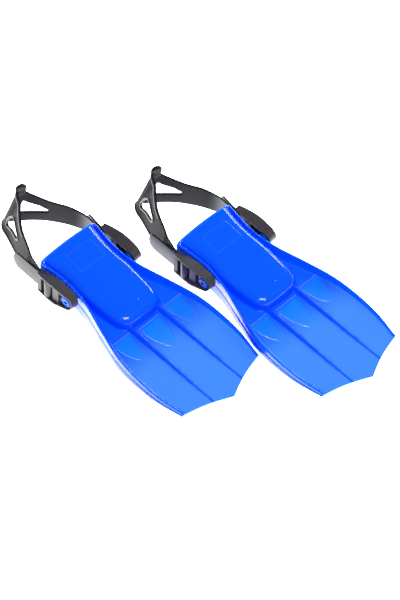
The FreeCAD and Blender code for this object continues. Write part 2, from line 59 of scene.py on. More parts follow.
def fin_origin(fin):
    """The fin's own x = 0 on its middle line at the floor, in millimetres of the row frame."""
    low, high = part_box(fin + "_blade")
    return np.array([high.x / MM - TIP_CENTRE_X, 0.5 * (low.y + high.y) / MM, 0.0])


ORIGIN = {fin: fin_origin(fin) for fin in FINS}

# ------------------------------------------------------------------ curves and heights (fin frame, mm)

FLANK = [(-59.0, 45.5), (-12.0, 41.5), (14.0, 44.8), (61.0, 58.3),
         (100.0, 68.6), (139.0, 72.0), (170.0, 71.0), (206.4, 64.5)]
DOME_SIDE = [(-59.0, 42.0), (-36.0, 38.2), (-14.0, 37.2), (8.0, 38.2), (35.0, 37.3), (56.0, 35.3)]
DOME_TOE = [(68.0, 31.5), (74.5, 24.0), (76.7, 12.0), (76.9, 0.0)]
RIM_X, CORNER_X = -59.0, 206.4    # pocket's mouth, and the rails' front corners
TIP_ROUND = 1.3             # the blade's edge ahead of the rails' corners
TOE_X = 76.7                # front of the pocket
RAIL_THICK = 3.5
RAIL_REAR_Z, RAIL_TIP_Z = 41.0, 3.4
BLADE_ROOT_Z, BLADE_TIP_Z = 12.4, 1.4
BLADE_REAR_X = 60.0
UNDER_ROOT_Z = 6.8
POCKET_WALL = 3.0
POCKET_EDGE_RISE = 3.1      # pocket's top above the rails at its sides
POCKET_CROWN = 2.3          # further rise at the middle
RIB_REAR_X, RIB_LENGTH = 66.7, 142.3
RIB_Y, RIB_SPREAD = 23.5, 0.9
RIB_WIDTH, RIB_NARROWING = 8.8, 5.4
RIB_HEIGHT, RIB_LOWERING = 5.2, 4.7
SCOOP_DEPTH = 2.8
STUD_X, STUD_Z = -1.5, 27.0
STUD_FACE_Y = 58.5          # buckle's outer face, from the fin's middle


def smooth(points, x):
    """Value at x of a smooth curve through (x, value) points."""
    px = np.array([p[0] for p in points], float)
    py = np.array([p[1] for p in points], float)
    slope = np.gradient(py, px)
    x = np.clip(np.asarray(x, float), px[0], px[-1])
    i = np.clip(np.searchsorted(px, x, side="right") - 1, 0, len(px) - 2)
    h = px[i + 1] - px[i]
    t = (x - px[i]) / h
    return ((2 * t**3 - 3 * t**2 + 1) * py[i] + (t**3 - 2 * t**2 + t) * h * slope[i]
            + (3 * t**2 - 2 * t**3) * py[i + 1] + (t**3 - t**2) * h * slope[i + 1])


def smooth_path(points, count):
    """Evenly spaced points of a smooth curve through 2-D or 3-D points."""
    pts = np.array(points, float)
    chord = np.concatenate([[0], np.cumsum(np.linalg.norm(np.diff(pts, axis=0), axis=1))])
    at = np.linspace(0, chord[-1], count)
    return np.stack([smooth(list(zip(chord, pts[:, k])), at) for k in range(pts.shape[1])], axis=1)


def flank(x):
    """Half the fin's width."""
    return smooth(FLANK, x)


def rail_z(x):
    """Height of the rails' top edges."""
    share = (np.asarray(x, float) - RIM_X) / (CORNER_X - RIM_X)
    return RAIL_REAR_Z + share * (RAIL_TIP_Z - RAIL_REAR_Z)


def blade_z(x):
    """Height of the blade's upper face."""
    share = (np.asarray(x, float) - TOE_X) / (TIP_CENTRE_X - TOE_X)
    return BLADE_ROOT_Z + share * (BLADE_TIP_Z - BLADE_ROOT_Z)


def under_z(x):
    """Height of the blade's lower face."""
    return np.maximum(UNDER_ROOT_Z * (CORNER_X - np.asarray(x, float)) / (CORNER_X - TOE_X), 0.0)


def smooth_max(a, b, k):
    """The larger of two heights, blended over a difference of k."""
    h = np.maximum(k - np.abs(a - b), 0.0) / k
    return np.maximum(a, b) + 0.25 * k * h * h


def step(low, high, x):
    """Smooth step from 0 at low to 1 at high."""
    t = np.clip((x - low) / (high - low), 0.0, 1.0)
    return t * t * (3 - 2 * t)


def dome_outline():
    """Plan outline of the foot pocket, from one rear corner round the toe to the other."""
    half = smooth_path([(-62.0, 42.2)] + DOME_SIDE[1:] + DOME_TOE, 260)
    return np.concatenate([half * [1, -1], half[-2::-1]])


OUTLINE = dome_outline()
OUTLINE_HALF = OUTLINE[len(OUTLINE) // 2:]


def dome_inset(x, y):
    """Distance inside the pocket's outline, negative outside it."""
    flat = np.stack([x.ravel(), y.ravel()], axis=1)
    dist = np.full(len(flat), 99.0)
    near = np.flatnonzero((flat[:, 0] < 84) & (np.abs(flat[:, 1]) < 52))
    for block in np.array_split(near, max(1, len(near) // 4000)):
        gap = flat[block][:, None, :] - OUTLINE[None, :, :]
        dist[block] = np.sqrt((gap**2).sum(2).min(1))
    order = np.argsort(OUTLINE_HALF[:, 0])
    half = np.interp(flat[:, 0], OUTLINE_HALF[order, 0], OUTLINE_HALF[order, 1], right=0.0)
    inside = (np.abs(flat[:, 1]) < half) & (flat[:, 0] < DOME_TOE[-1][0])
    return np.where(inside, dist, -dist).reshape(x.shape)


def dome_z(x, y, d, drop=0.0, round_r=10.0):
    """Height of the pocket's outer form (or of its ceiling, when it is dropped)."""
    crown = POCKET_CROWN * (1 - (y / 40.0)**2)
    top = rail_z(x) + POCKET_EDGE_RISE + crown - drop
    lean = 5.0
    start = round_r * (1 - lean / math.sqrt(1 + lean * lean))
    q = np.clip(round_r - np.maximum(d, start), 0, round_r)
    z = top - round_r + np.sqrt(np.maximum(round_r**2 - q**2, 0))
    return np.where(d < start, z + lean * (d - start), z)


def dome_marks(x, y):
    """Distance inside the low panel on the pocket's top; height of the panel and the gate's dimple."""
    panel = np.minimum(14.5 - np.abs(x + 29.5), 20.0 - np.abs(y - 2.0))
    dimple_r = np.hypot(x - 58.0, y - 7.0)
    return panel, 0.18 * step(-0.6, 0.6, panel) - 0.4 * step(1.6, 0.8, dimple_r)


def rib_y(x):
    """Distance of the ribs from the fin's middle line."""
    return RIB_Y + RIB_SPREAD * (np.asarray(x, float) - RIB_REAR_X) / RIB_LENGTH


# Scoops: middle y, rear x, length, half the width.
VENTS = [(-43.0, 79.0, 40.0, 14.0), (0.0, 83.5, 47.0, 17.0), (43.0, 79.0, 40.0, 14.0)]


def vent_fields(x, y):
    """Depth of the scoops, closeness to a scoop's edge (a raised lip and a painted highlight line), and where
    the scoops are.
    """
    depth = np.zeros_like(x)
    edge_and_painted_highlight = np.zeros_like(x)
    inner = np.zeros_like(x)
    for centre, rear, reach, half in VENTS:
        s = np.clip((x - rear) / reach, 1e-3, 1.4)
        u = np.abs(y - centre) / half
        value = 1 - s**1.9 - u**1.7
        slope = np.hypot(1.9 * s**0.9 / reach, 1.7 * np.maximum(u, 1e-3)**0.7 / half)
        gap = value / np.maximum(slope, 0.02)
        behind = step(-0.3, 0.3, x - rear)
        depth = np.maximum(depth, SCOOP_DEPTH * np.clip(1 - s, 0, 1)**1.1 * step(0, 1.4, gap) * behind)
        # Painted highlight: a light line round each scoop's outline and along its rear edge.
        outline = np.exp(-(gap / 0.7)**2) * (0.35 + 0.65 * step(0, 3, u))
        outline = outline * step(-1.0, 1.0, x - rear)
        back = np.exp(-((x - rear + 0.7) / 0.6)**2) * (u < 1.0)
        edge_and_painted_highlight = np.maximum(edge_and_painted_highlight, np.maximum(0.5 * outline, back))
        inner = np.maximum(inner, step(0, 1.0, gap) * behind * (1 - 0.6 * s))
    return depth, edge_and_painted_highlight, inner


def top_fields(x, y, e):
    """Height of the moulding's upper surface, with the fields that its looks need."""
    edge_r, rail_top, rail_slope = 1.3, 2.6, 3.2
    d = dome_inset(x, y)
    # lip lifts the scoops' edges and is also the mask of their painted highlight line.
    vent, lip, inner = vent_fields(x, y)
    taper = np.clip((x - RIB_REAR_X) / RIB_LENGTH, 0, 1)
    rib_half = 0.5 * (RIB_WIDTH - RIB_NARROWING * taper)
    rib_high = RIB_HEIGHT - RIB_LOWERING * taper
    across = np.clip(np.abs(np.abs(y) - rib_y(x)) / rib_half, 0, 1)
    rib = rib_high * (1 - across**2)**1.3 * step(211, 206, x)
    blade = blade_z(x)
    blade = np.where(x > BLADE_REAR_X, blade - vent + 0.35 * lip + rib, blade)
    rail = rail_z(x) - rail_slope * np.maximum(e - rail_top, 0)
    rail = rail - np.where(e < edge_r, edge_r - np.sqrt(np.maximum(edge_r**2 - (edge_r - e)**2, 0)), 0)
    z = smooth_max(blade, rail, 5.0)
    z = np.where(e < 2.2, rail, z)
    dome = dome_z(x, y, d) + dome_marks(x, y)[1]
    z = np.where(d > -16, smooth_max(z, dome, 3.0), z)
    return z, d, lip, inner, across


def under_heights(x, y, e):
    """Height of the moulding's lower surface: soles of the walls, blade underside, pocket ceiling."""
    d = dome_inset(x, y)
    z = under_z(x)
    z = np.where(e < RAIL_THICK, 0.0, z)
    z = np.where((d > -0.5) & (d < POCKET_WALL), 0.0, z)
    ceiling = dome_z(x, y, d - POCKET_WALL, drop=POCKET_WALL, round_r=7.5)
    return np.where(d >= POCKET_WALL, np.maximum(ceiling, 2.0), z)


def tip_x(v):
    """Front edge of the blade at a fraction v of the half width."""
    a = np.abs(v)
    return TIP_CENTRE_X - (TIP_CENTRE_X - CORNER_X - TIP_ROUND) * a - 3.0 * np.sin(np.pi * a)


# ------------------------------------------------------------------ mesh helpers

def new_object(name, verts, faces, fin, material, normals=None, fields=None, smooth_faces=True):
    """Mesh object from fin-frame millimetres."""
    mesh = bpy.data.meshes.new(name)
    points = (np.asarray(verts) + ORIGIN[fin]) * MM
    mesh.from_pydata(points.tolist(), [], [list(map(int, f)) for f in faces])
    mesh.polygons.foreach_set("use_smooth", [smooth_faces] * len(mesh.polygons))
    for key, values in (fields or {}).items():
        layer = mesh.attributes.new(key, "FLOAT", "POINT")
        layer.data.foreach_set("value", np.asarray(values, np.float32))
    mesh.update()
    if normals is not None:
        mesh.normals_split_custom_set_from_vertices(np.asarray(normals).tolist())
    obj = bpy.data.objects.new(name, mesh)
    bpy.context.scene.collection.objects.link(obj)
    obj.data.materials.append(material)
    return obj


def grid_normals(points):
    """Unit normals of a (rows, columns, 3) grid of points."""
    du = np.gradient(points, axis=0)
    dv = np.gradient(points, axis=1)
    n = np.cross(du, dv)
    return n / np.maximum(np.linalg.norm(n, axis=2, keepdims=True), 1e-9)


def grid_faces(rows, cols, offset=0, flip=False):
    """Quads of a grid of points numbered row by row."""
    i, j = np.meshgrid(np.arange(rows - 1), np.arange(cols - 1), indexing="ij")
    a = (offset + i * cols + j).ravel()
    quads = np.stack([a, a + cols, a + cols + 1, a + 1], axis=1)
    return quads[:, ::-1] if flip else quads


def sweep(path, across, half_width, half_thick, corner=0.9, steps=4):
    """Closed band: rounded rectangles along a path; across points along the width."""
    path, across = np.asarray(path, float), np.asarray(across, float)
    count = len(path)
    half_width = np.broadcast_to(np.asarray(half_width, float), (count,))
    half_thick = np.broadcast_to(np.asarray(half_thick, float), (count,))
    tangent = np.gradient(path, axis=0)
    tangent /= np.linalg.norm(tangent, axis=1, keepdims=True)
    across = across / np.linalg.norm(across, axis=1, keepdims=True)
    normal = np.cross(tangent, across)
    normal /= np.linalg.norm(normal, axis=1, keepdims=True)
    rings = []
    for k in range(count):
        r = min(corner, 0.98 * half_thick[k], 0.98 * half_width[k])
        ring = []
        for quarter, (sa, sb) in enumerate(((1, 1), (-1, 1), (-1, -1), (1, -1))):
            for n in range(steps + 1):
                turn = math.radians(90 * quarter + 90 * n / steps)
                a = sa * (half_width[k] - r) + r * math.cos(turn)
                b = sb * (half_thick[k] - r) + r * math.sin(turn)
                ring.append(path[k] + across[k] * a + normal[k] * b)
        rings.append(ring)
    ring_len = len(rings[0])
    verts = [p for ring in rings for p in ring]
    faces = []
    for k in range(count - 1):
        for m in range(ring_len):
            a, b = k * ring_len + m, k * ring_len + (m + 1) % ring_len
            faces.append((a, b, b + ring_len, a + ring_len))
    faces.append(tuple(reversed(range(ring_len))))
    faces.append(tuple(range((count - 1) * ring_len, count * ring_len)))
    return verts, faces


def join(parts):
    """Several (verts, faces) as one."""
    verts, faces = [], []
    for v, f in parts:
        base = len(verts)
        verts += [tuple(p) for p in v]
        faces += [tuple(base + int(i) for i in face) for face in f]
    return verts, faces


def soften(obj, width, segments, angle):
    """Rounded edges: width in millimetres, and degrees from which an edge counts."""
    bevel = obj.modifiers.new("soft_edge", "BEVEL")
    bevel.width, bevel.segments, bevel.angle_limit = width * MM, segments, math.radians(angle)


def bake_modifiers(obj):
    """Replace the object's mesh by what its modifiers make of it."""
    bpy.context.view_layer.update()
    graph = bpy.context.evaluated_depsgraph_get()
    mesh = bpy.data.meshes.new_from_object(obj.evaluated_get(graph))
    obj.modifiers.clear()
    obj.data = mesh


# ------------------------------------------------------------------ materials

def srgb(r, g, b):
    """Linear colour from screen values of 0 to 255."""
    def channel(c):
        c /= 255.0
        return c / 12.92 if c <= 0.04045 else ((c + 0.055) / 1.055) ** 2.4
    return (channel(r), channel(g), channel(b), 1.0)


class Nodes:
    """Small builder round a material's node tree."""

    def __init__(self, name):
        self.material = bpy.data.materials.new(name)
        self.material.use_nodes = True
        self.tree = self.material.node_tree
        self.shader = self.tree.nodes["Principled BSDF"]

    def node(self, kind, **settings):
        node = self.tree.nodes.new(kind)
        for key, value in settings.items():
            if key.startswith("in_"):
                node.inputs[key[3:].replace("_", " ")].default_value = value
            else:
                setattr(node, key, value)
        return node

    def link(self, a, b):
        self.tree.links.new(a, b)

    def mix(self, factor, a, b):
        node = self.tree.nodes.new("ShaderNodeMix")
        node.data_type = "RGBA"
        for value, socket in ((factor, node.inputs[0]), (a, node.inputs[6]), (b, node.inputs[7])):
            if isinstance(value, (float, int, tuple)):
                socket.default_value = value
            else:
                self.link(value, socket)
        return node.outputs[2]

    def math(self, operation, a, b=0.0, c=None):
        node = self.tree.nodes.new("ShaderNodeMath")
        node.operation = operation
        for value, socket in zip((a, b, c), node.inputs):
            if value is None:
                continue
            if isinstance(value, (float, int)):
                socket.default_value = value
            else:
                self.link(value, socket)
        return node.outputs[0]

    def field(self, name):
        return self.node("ShaderNodeAttribute", attribute_name=name).outputs["Fac"]

    def noise(self, scale, detail=2.0, rough=0.5):
        coords = self.node("ShaderNodeTexCoord")
        noise = self.node("ShaderNodeTexNoise", in_Scale=scale, in_Detail=detail, in_Roughness=rough)
        self.link(coords.outputs["Object"], noise.inputs["Vector"])
        return noise.outputs["Fac"]

    def bump(self, height, strength, distance=0.001):
        bump = self.node("ShaderNodeBump", in_Strength=strength, in_Distance=distance)
        self.link(height, bump.inputs["Height"])
        self.link(bump.outputs["Normal"], self.shader.inputs["Normal"])

    def set(self, **values):
        for key, value in values.items():
            self.shader.inputs[key.replace("_", " ")].default_value = value


def blue_shell(name, deep, light, rough, gloss=0.4, coat=0.0):
    """Glossy blue rubber or plastic: light where it is thin, with painted shade in folds and grooves and
    painted highlight lines along edges, clearer in the scoops.
    """
    m = Nodes(name)
    tone = m.mix(m.field("thin"), deep, light)
    tone = m.mix(m.math("MULTIPLY", m.field("scoop"), 0.65), tone, srgb(10, 130, 255))
    # Painted shade: deeper blue in creases, in the stud's bore, beside the ribs and on the rails' outer
    # faces.
    tone = m.mix(m.math("MULTIPLY", m.field("groove_and_painted_shade"), 0.6), tone, srgb(0, 58, 240))
    # Painted highlight: light blue lines along the scoops' and the panel's edges.
    tone = m.mix(m.math("MULTIPLY", m.field("edge_and_painted_highlight"), 0.55), tone, srgb(110, 158, 255))
    fine = m.noise(900.0, 3.0)
    broad = m.noise(30.0, 2.0)
    shade = m.math("MULTIPLY_ADD", broad, 0.06, 0.97)
    tone = m.mix(m.math("SUBTRACT", 1.0, shade), tone, srgb(0, 40, 170))
    m.link(tone, m.shader.inputs["Base Color"])
    m.link(m.math("MULTIPLY_ADD", fine, 0.04, rough), m.shader.inputs["Roughness"])
    m.bump(fine, 0.03, 0.0003)
    m.set(Specular_IOR_Level=gloss, Coat_Weight=coat, Coat_Roughness=0.08)
    return m.material


def black_rubber(name, colour, rough, grain=1.0, polish="", flat_shine=None):
    """Black rubber or plastic; its shine may follow a field, or change towards flat_shine on top faces."""
    m = Nodes(name)
    fine = m.noise(1400.0, 4.0, 0.6)
    broad = m.noise(60.0, 2.0)
    tone = m.mix(broad, colour, tuple(c * 1.5 for c in colour[:3]) + (1.0,))
    m.link(tone, m.shader.inputs["Base Color"])
    m.link(m.math("MULTIPLY_ADD", fine, 0.18, rough), m.shader.inputs["Roughness"])
    m.bump(fine, 0.15 * grain, 0.0003)
    side_shine = 0.7
    m.set(Specular_IOR_Level=0.5)
    if flat_shine is not None:
        split = m.node("ShaderNodeSeparateXYZ")
        m.link(m.node("ShaderNodeTexCoord").outputs["Normal"], split.inputs[0])
        facing_up = m.node("ShaderNodeClamp")
        m.link(split.outputs["Z"], facing_up.inputs[0])
        m.link(m.math("MULTIPLY_ADD", facing_up.outputs[0], flat_shine - side_shine, side_shine),
               m.shader.inputs["Specular IOR Level"])
    if polish:
        m.link(m.math("MULTIPLY_ADD", m.field(polish), 1.5, 1.0), m.shader.inputs["IOR"])
    return m.material


MAT = {
    "pocket": blue_shell("pocket_rubber", srgb(0, 80, 244), srgb(0, 80, 244), 0.07),
    "rim": blue_shell("rim_rubber", srgb(36, 116, 252), srgb(36, 116, 252), 0.15),
    "blade": blue_shell("blade_plastic", srgb(0, 86, 250), srgb(58, 126, 252), 0.20),
    "rail": blue_shell("rail_rubber", srgb(0, 84, 252), srgb(0, 98, 255), 0.16, 0.35, 0.08),
    "rib": blue_shell("rib_rubber", srgb(0, 72, 248), srgb(0, 86, 252), 0.36, 0.10),
    "footbed": blue_shell("footbed_rubber", srgb(0, 70, 225), srgb(0, 70, 225), 0.4),
    # The stud is the pocket's blue rubber made darker: painted shade for the shade it sits in under the
    # buckle.
    "stud": blue_shell("shaded_stud_rubber", srgb(14, 76, 168), srgb(14, 76, 168), 0.25, 0.12),
    "buckle": black_rubber("buckle_plastic", srgb(48, 46, 50), 0.42, 1.6, flat_shine=0.12),
    "strap": black_rubber("strap_rubber", srgb(23, 24, 29), 0.30, 1.0, "polish"),
    "strap_end": black_rubber("strap_end_rubber", srgb(30, 30, 33), 0.30),
}

# ------------------------------------------------------------------ blue moulding

ROWS, COLS = 520, 241
BEND_X = 170.0              # from here on the grid bends towards the tip's outline


def moulding_grid():
    """Grid of x, y and the distance to the fin's side, with extra lines at the scoops' rear edges."""
    xs = np.linspace(RIM_X, CORNER_X + TIP_ROUND, ROWS)
    extra = [rear + off for _, rear, _, _ in VENTS[:2] for off in (-0.35, 0.35)]
    xs = np.sort(np.concatenate([xs, extra]))
    v = np.linspace(-1, 1, COLS)
    rim_cols = 1 - np.array([0.4, 0.9, 1.6, 2.4, 3.1]) / 60.0
    v = np.unique(np.concatenate([v, rim_cols, -rim_cols]))
    xs, v = np.meshgrid(xs, v, indexing="ij")
    half = flank(xs)
    stretch = (tip_x(v) - BEND_X) / (CORNER_X + TIP_ROUND - BEND_X)
    x = np.where(xs > BEND_X, BEND_X + (xs - BEND_X) * stretch, xs)
    return x, v * half, half * (1 - np.abs(v))


GRID = moulding_grid()


def build_moulding(fin):
    """Pocket, blade, rails and ribs: an upper and a lower surface, shared out among the pieces."""
    x, y, e = GRID
    top, d, lip, inner, across = top_fields(x, y, e)
    low = np.minimum(under_heights(x, y, e), top - 0.3)
    rows, cols = x.shape
    upper = np.stack([x, y, top], axis=2)
    lower = np.stack([x, y, low], axis=2)
    normals = np.concatenate([grid_normals(upper).reshape(-1, 3), -grid_normals(lower).reshape(-1, 3)])
    verts = np.concatenate([upper.reshape(-1, 3), lower.reshape(-1, 3)])
    count = rows * cols
    thin = step(84, 140, x)
    # Painted shade: a dark band beside each rib, and darker blue in the valley round the pocket's edge.
    shadow = np.exp(-((np.abs(np.abs(y) - rib_y(x)) - 2.5) / 2.2)**2) * step(60, 75, x) * step(212, 150, x)
    groove_and_painted_shade = np.clip(0.4 * shadow + step(-3.5, -0.5, d) * step(3, -0.5, d), 0, 1)
    panel, _ = dome_marks(x, y)
    # Painted highlight: a light line along the edge of the panel on the pocket's top joins the scoops' lines.
    lip = np.maximum(lip, 0.16 * np.exp(-(panel / 0.5)**2) * (d > 0))
    fields = {"thin": thin, "groove_and_painted_shade": groove_and_painted_shade, "edge_and_painted_highlight": lip, "scoop": inner}
    fields = {k: np.concatenate([f.ravel(), f.ravel()]) for k, f in fields.items()}
    centre = (slice(0, rows - 1), slice(0, cols - 1))
    # What each face belongs to; a later line wins over an earlier one.
    region = np.full((rows - 1, cols - 1), "blade", dtype=object)
    region[(across[centre] < 0.98) & (x[centre] > 66)] = "rib"
    region[d[centre] > -0.8] = "pocket"
    region[(e[centre] < 5.0) & (d[centre] <= -0.8)] = "rail"
    region[e[centre] < RAIL_THICK] = "rail"
    groups = {}
    top_quads = grid_faces(rows, cols).reshape(rows - 1, cols - 1, 4)
    low_quads = grid_faces(rows, cols, count, flip=True).reshape(rows - 1, cols - 1, 4)
    sign = np.where(y[centre] + 1e-6 > 0, 1, -1)
    for flank_name, side in SIDES[fin].items():
        groups[flank_name + "_rail"] = (region == "rail") & (sign == side)
        groups[flank_name + "_rib"] = (region == "rib") & (sign == side)
    groups["foot_pocket"] = region == "pocket"
    groups["blade"] = region == "blade"
    wall = {side: side_wall(x, y, top, side) for side in (-1, 1)}
    for name, mask in groups.items():
        quads = np.concatenate([top_quads[mask], low_quads[mask]])
        used, faces = np.unique(quads, return_inverse=True)
        part_fields = {k: f[used] for k, f in fields.items()}
        part = (verts[used], normals[used], faces.reshape(quads.shape), part_fields)
        if name.endswith("_rail"):
            # The rails' outer faces get painted shade.
            part = add_patch(part, wall[SIDES[fin][name.split("_")[0]]], {"groove_and_painted_shade": 0.9})
        if name == "blade":
            part = add_patch(part, front_edge(upper, lower), {"thin": 1.0})
        part_verts, part_normals, faces, part_fields = part
        look = name.split("_")[-1]
        obj = new_object(fin + "_" + name + "_skin", part_verts, faces, fin, MAT[look],
                         part_normals, part_fields)
        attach(obj, fin + "_fin")
        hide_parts(fin + "_" + name)


def add_patch(part, patch, values):
    """Add a patch's points, normals and faces to a part; its fields are 0 apart from the given values."""
    verts, normals, faces, fields = part
    more_verts, more_normals, more_faces = patch
    fields = {key: np.concatenate([field, np.full(len(more_verts), values.get(key, 0.0))])
              for key, field in fields.items()}
    return (np.concatenate([verts, more_verts]), np.concatenate([normals, more_normals]),
            np.concatenate([faces, more_faces + len(verts)]), fields)


def side_wall(x, y, top, side):
    """Outer face of a rail, with a shallow lengthwise groove."""
    col = -1 if side > 0 else 0
    px, py, pz = x[:, col], y[:, col], top[:, col]
    groove_depth, groove_share, groove_width, lean_out = 0.9, 0.45, 0.09, 1.4
    share = np.linspace(0, 1, 30)[None, :]      # 0 at the top edge, 1 at the foot
    height = pz[:, None] * (1 - share)
    groove_and_painted_shade = groove_depth * np.exp(-((share - groove_share) / groove_width)**2) * step(-10, 10, px[:, None])
    lean = lean_out * share * step(0, 60, px[:, None] - RIM_X)
    py = py[:, None] + side * (lean - groove_and_painted_shade)
    pts = np.stack([np.broadcast_to(px[:, None], py.shape), py, height], axis=2)
    normals = grid_normals(pts)
    turned = normals[:, :, 1].mean() * side < 0
    if turned:
        normals = -normals
    return pts.reshape(-1, 3), normals.reshape(-1, 3), grid_faces(*pts.shape[:2], flip=turned)


def front_edge(upper, lower):
    """Thin face along the blade's front edge."""
    pts = np.stack([upper[-1], lower[-1]], axis=0)
    normals = np.tile([1.0, 0.0, 0.2], (pts.shape[0] * pts.shape[1], 1))
    return pts.reshape(-1, 3), normals, grid_faces(2, pts.shape[1])


def arch_path(half, top, corner, count=15):
    """Path in the YZ plane: up one leg, over and down the other."""
    pts = [(-half, z) for z in np.linspace(1.6, top - corner, 12)]
    pts += [(-half + corner - corner * math.cos(t), top - corner + corner * math.sin(t))
            for t in np.linspace(0, math.pi / 2, count)[1:]]
    pts += [(yy, top) for yy in np.linspace(corner - half, half - corner, 24)[1:-1]]
    left = [(-yy, zz) for yy, zz in reversed(pts[:12 + count - 1])]
    return pts + left


def build_rim(fin):
    """Rolled lip round the pocket's mouth."""
    half, side_top, arch_rise = 43.9, 40.6, 3.6
    path = np.array([(RIM_X - 1.4, yy, zz) for yy, zz in arch_path(half, side_top, 5.0)])
    path[:, 2] += arch_rise * (1 - (path[:, 1] / half)**2)
    verts, faces = sweep(path, np.tile([1.0, 0, 0], (len(path), 1)), 1.8, 2.1, corner=1.6, steps=6)
    obj = new_object(fin + "_rim_lip", verts, faces, fin, MAT["rim"])
    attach(obj, fin + "_fin")
    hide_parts(fin + "_pocket_rim")


def build_footbed(fin):
    """Sole plate with a rounded heel end."""
    heel_reach, heel_half, sole_thick = 18.8, 38.6, 4.0
    toe_inset, side_inset = 3.1, 3.2
    ring = []
    for px, py in OUTLINE:
        if px > RIM_X:
            shift = toe_inset if px > BLADE_REAR_X else 0.0
            ring.append((px - shift, math.copysign(max(abs(py) - side_inset, 0), py)))
    ring += [(RIM_X - heel_reach * math.sin(t), heel_half * math.cos(t))
             for t in np.linspace(0, math.pi, 40)[1:-1]]
    ring = [p for i, p in enumerate(ring) if i % 3 == 0 or p[0] < RIM_X]
    count = len(ring)
    verts = [(px, py, z) for z in (0.0, sole_thick) for px, py in ring]
    faces = [tuple(range(count))[::-1], tuple(range(count, 2 * count))]
    faces += [(i, (i + 1) % count, count + (i + 1) % count, count + i) for i in range(count)]
    obj = new_object(fin + "_sole", verts, faces, fin, MAT["footbed"], smooth_faces=False)
    soften(obj, 0.6, 2, 50)
    bake_modifiers(obj)
    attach(obj, fin + "_fin")
    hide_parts(fin + "_footbed")


def build_stud(fin, name, side):
    """Turned stud: boss, neck, round head with a ring groove and a blind hole."""
    boss_and_neck = [(4.8, 44.0), (4.8, 51.8), (4.3, 52.3), (4.0, 52.8), (4.0, 57.0)]
    head = [(7.0, 57.3), (7.7, 57.7), (7.85, 58.4), (7.7, 59.1), (7.1, 59.5), (5.6, 59.6), (4.2, 59.4)]
    bore = [(3.0, 59.5), (2.5, 59.4), (2.2, 59.0), (2.1, 58.0), (0.0, 57.9)]
    profile = boss_and_neck + head + bore
    turns = 64
    verts, faces = [], []
    for radius, out in profile:
        for k in range(turns):
            t = 2 * math.pi * k / turns
            verts.append((STUD_X + radius * math.cos(t), side * out, STUD_Z + radius * math.sin(t)))
    for r in range(len(profile) - 1):
        for k in range(turns):
            a, b = r * turns + k, r * turns + (k + 1) % turns
            face = (a, a + turns, b + turns, b)
            faces.append(face if side < 0 else face[::-1])
    # Painted shade: the blind hole is coloured darker.
    hole = np.zeros(len(verts))
    hole[-4 * turns:] = 1.0
    obj = new_object(fin + "_" + name + "_button", verts, faces, fin, MAT["stud"], fields={"groove_and_painted_shade": hole})
    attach(obj, fin + "_fin")
    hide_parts(fin + "_" + name + "_stud")


# ------------------------------------------------------------------ buckles and strap

PITCH, LEAN = math.radians(5.2), math.radians(8.0)
LOOP_X, LEG_Y, LOOP_TURN, LOOP_SWEEP, LOOP_SLOPE = -33.9, 8.45, 5.1, 5.7, math.radians(69.2)
TAIL_Y = LEG_Y - 2 * LOOP_TURN + 2 * LOOP_SWEEP * (1 - math.cos(LOOP_SLOPE))
TAIL_FRONT_X = -46.0                    # the tail keeps its place on the buckle here
TAIL_REAR_X = {-1: -101.5, 1: -82.0}    # the +Y tail is shorter
TAIL_BOW = {-1: 0.0, 1: 4.0}            # how far the free end stands away from the strap
TAIL_RISE = 5.5
TAIL_END = 13.5                         # length of the rounded end
BUCKLE_REAR_X = -52.0
STRAP_HALF, STRAP_THICK = 11.5, 2.5


def buckle_axes(side):
    """Columns: along the strap, in towards the fin, across the strap (up), in the fin frame."""
    along = np.array([math.cos(PITCH), 0, math.sin(PITCH)])
    upright = np.array([-math.sin(PITCH), 0, math.cos(PITCH)])
    toward_fin = np.array([0, -side, 0])
    inward = math.cos(LEAN) * toward_fin - math.sin(LEAN) * upright
    up = math.cos(LEAN) * upright + math.sin(LEAN) * toward_fin
    return along, inward, up


def from_buckle(points, side):
    """Fin-frame points from points in a buckle's own axes."""
    along, inward, up = buckle_axes(side)
    points = np.asarray(points, float)
    return (np.array([STUD_X, side * STUD_FACE_Y, STUD_Z]) + points[:, :1] * along
            + points[:, 1:2] * inward + points[:, 2:3] * up)


def show_buckle(fin, name):
    """The buckle's own solid with softened edges."""
    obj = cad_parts[fin + "_" + name + "_buckle"]
    obj.data.materials.clear()
    obj.data.materials.append(MAT["buckle"])
    weld = obj.modifiers.new("weld", "WELD")
    weld.merge_threshold = 0.02 * MM
    soften(obj, 0.7, 3, 35)
    obj.modifiers.new("shade", "WEIGHTED_NORMAL")


def build_loop(fin, name, side):
    """Strap round the middle bar and back in under the rear bar."""
    turn_y = LEG_Y - LOOP_TURN
    pts = [(LOOP_X - 0.4, LEG_Y)]
    pts += [(LOOP_X + LOOP_TURN * math.sin(t), turn_y + LOOP_TURN * math.cos(t))
            for t in np.linspace(0, math.pi, 25)]
    first = (LOOP_X, turn_y - LOOP_TURN + LOOP_SWEEP)
    pts += [(first[0] - LOOP_SWEEP * math.sin(t), first[1] - LOOP_SWEEP * math.cos(t))
            for t in np.linspace(0, LOOP_SLOPE, 12)[1:]]
    second = (first[0] - 2 * LOOP_SWEEP * math.sin(LOOP_SLOPE),
              first[1] - 2 * LOOP_SWEEP * math.cos(LOOP_SLOPE))
    pts += [(second[0] + LOOP_SWEEP * math.sin(t), second[1] + LOOP_SWEEP * math.cos(t))
            for t in np.linspace(LOOP_SLOPE, 0, 12)[1:]]
    pts.append((TAIL_FRONT_X, TAIL_Y))
    path = from_buckle([(px, py, 0) for px, py in pts], side)
    up = buckle_axes(side)[2]
    verts, faces = sweep(path, np.tile(up, (len(path), 1)), STRAP_HALF, 0.5 * STRAP_THICK, corner=0.9)
    obj = new_object(fin + "_" + name + "_loop_band", verts, faces, fin, MAT["strap_end"])
    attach(obj, fin + "_" + name + "_buckle")
    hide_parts(fin + "_" + name + "_strap_loop")


